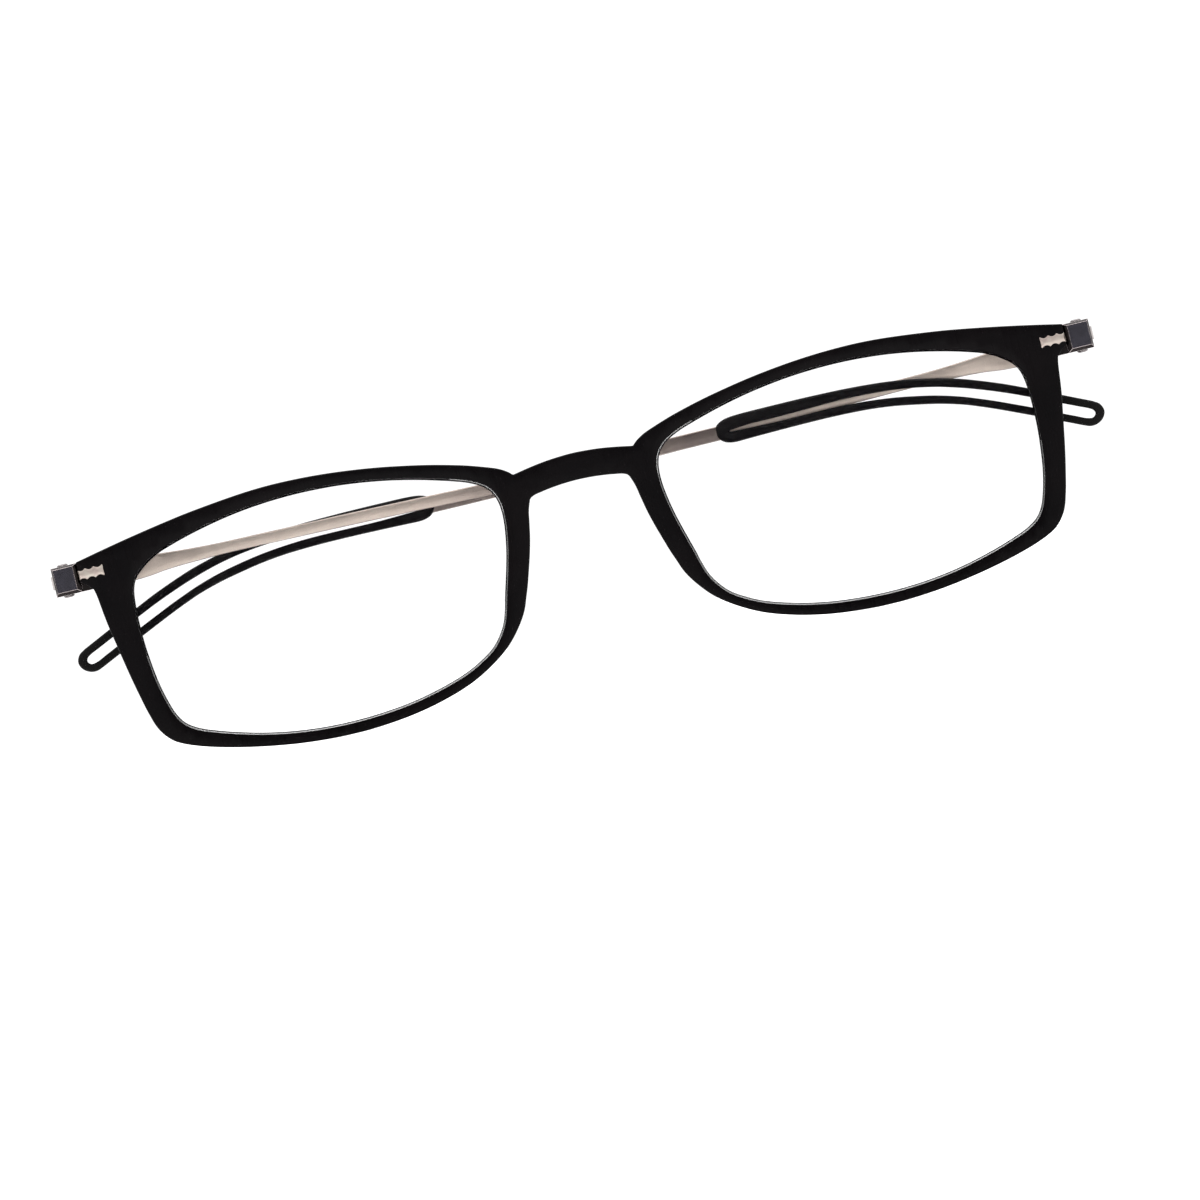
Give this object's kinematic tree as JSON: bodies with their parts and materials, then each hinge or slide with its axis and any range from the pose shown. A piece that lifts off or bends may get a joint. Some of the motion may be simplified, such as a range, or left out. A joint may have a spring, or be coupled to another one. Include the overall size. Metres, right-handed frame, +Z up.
{
  "type": "folding reading glasses",
  "caption": "Slim folding reading glasses with a black rectangular front, clear lenses, thin brushed metal temples and black hairpin tips, folded flat behind the front.",
  "frame": {"origin": "middle of the folded glasses in width and depth, at the lowest point of the rims", "axes": "+X to the viewer's right when the front is seen face on, +Y from the front back towards the folded temples, +Z up from the rims to the top edge"},
  "size_m": [0.1421, 0.0098, 0.0346],
  "materials": {
    "front_plastic": "satin black",
    "lens_clear": "clear plastic, polished",
    "tongue_metal": "pale champagne, satin",
    "hinge_metal": "dark polished",
    "pin_metal": "polished",
    "washer_plastic": "natural",
    "arm_metal": "champagne, brushed",
    "tip_rubber": "matte black"
  },
  "bodies": {
    "front": {"front_frame": "front_plastic", "lens_left": "lens_clear", "lens_right": "lens_clear", "hinge_tongue_left": "tongue_metal", "hinge_block_left": "hinge_metal", "hinge_pin_left": "pin_metal", "hinge_washer_upper_left": "washer_plastic", "hinge_washer_lower_left": "washer_plastic", "hinge_tongue_right": "tongue_metal", "hinge_block_right": "hinge_metal", "hinge_pin_right": "pin_metal", "hinge_washer_upper_right": "washer_plastic", "hinge_washer_lower_right": "washer_plastic"},
    "temple_left": {"temple_knuckle_left": "hinge_metal", "temple_rivet_inner_left": "pin_metal", "temple_rivet_outer_left": "pin_metal", "temple_arm_left": "arm_metal", "temple_tip_left": "tip_rubber"},
    "temple_right": {"temple_knuckle_right": "hinge_metal", "temple_rivet_inner_right": "pin_metal", "temple_rivet_outer_right": "pin_metal", "temple_arm_right": "arm_metal", "temple_tip_right": "tip_rubber"}
  },
  "joints": [
    {"name": "left_temple_hinge", "type": "hinge", "parent": "front", "child": "temple_left", "pos_m": [-0.06915, 0.00192, 0.02869], "axis": [0, 0, 1], "range_deg": [0, 92]},
    {"name": "right_temple_hinge", "type": "hinge", "parent": "front", "child": "temple_right", "pos_m": [0.06915, 0.00192, 0.02869], "axis": [0, 0, -1], "range_deg": [0, 92]}
  ]
}
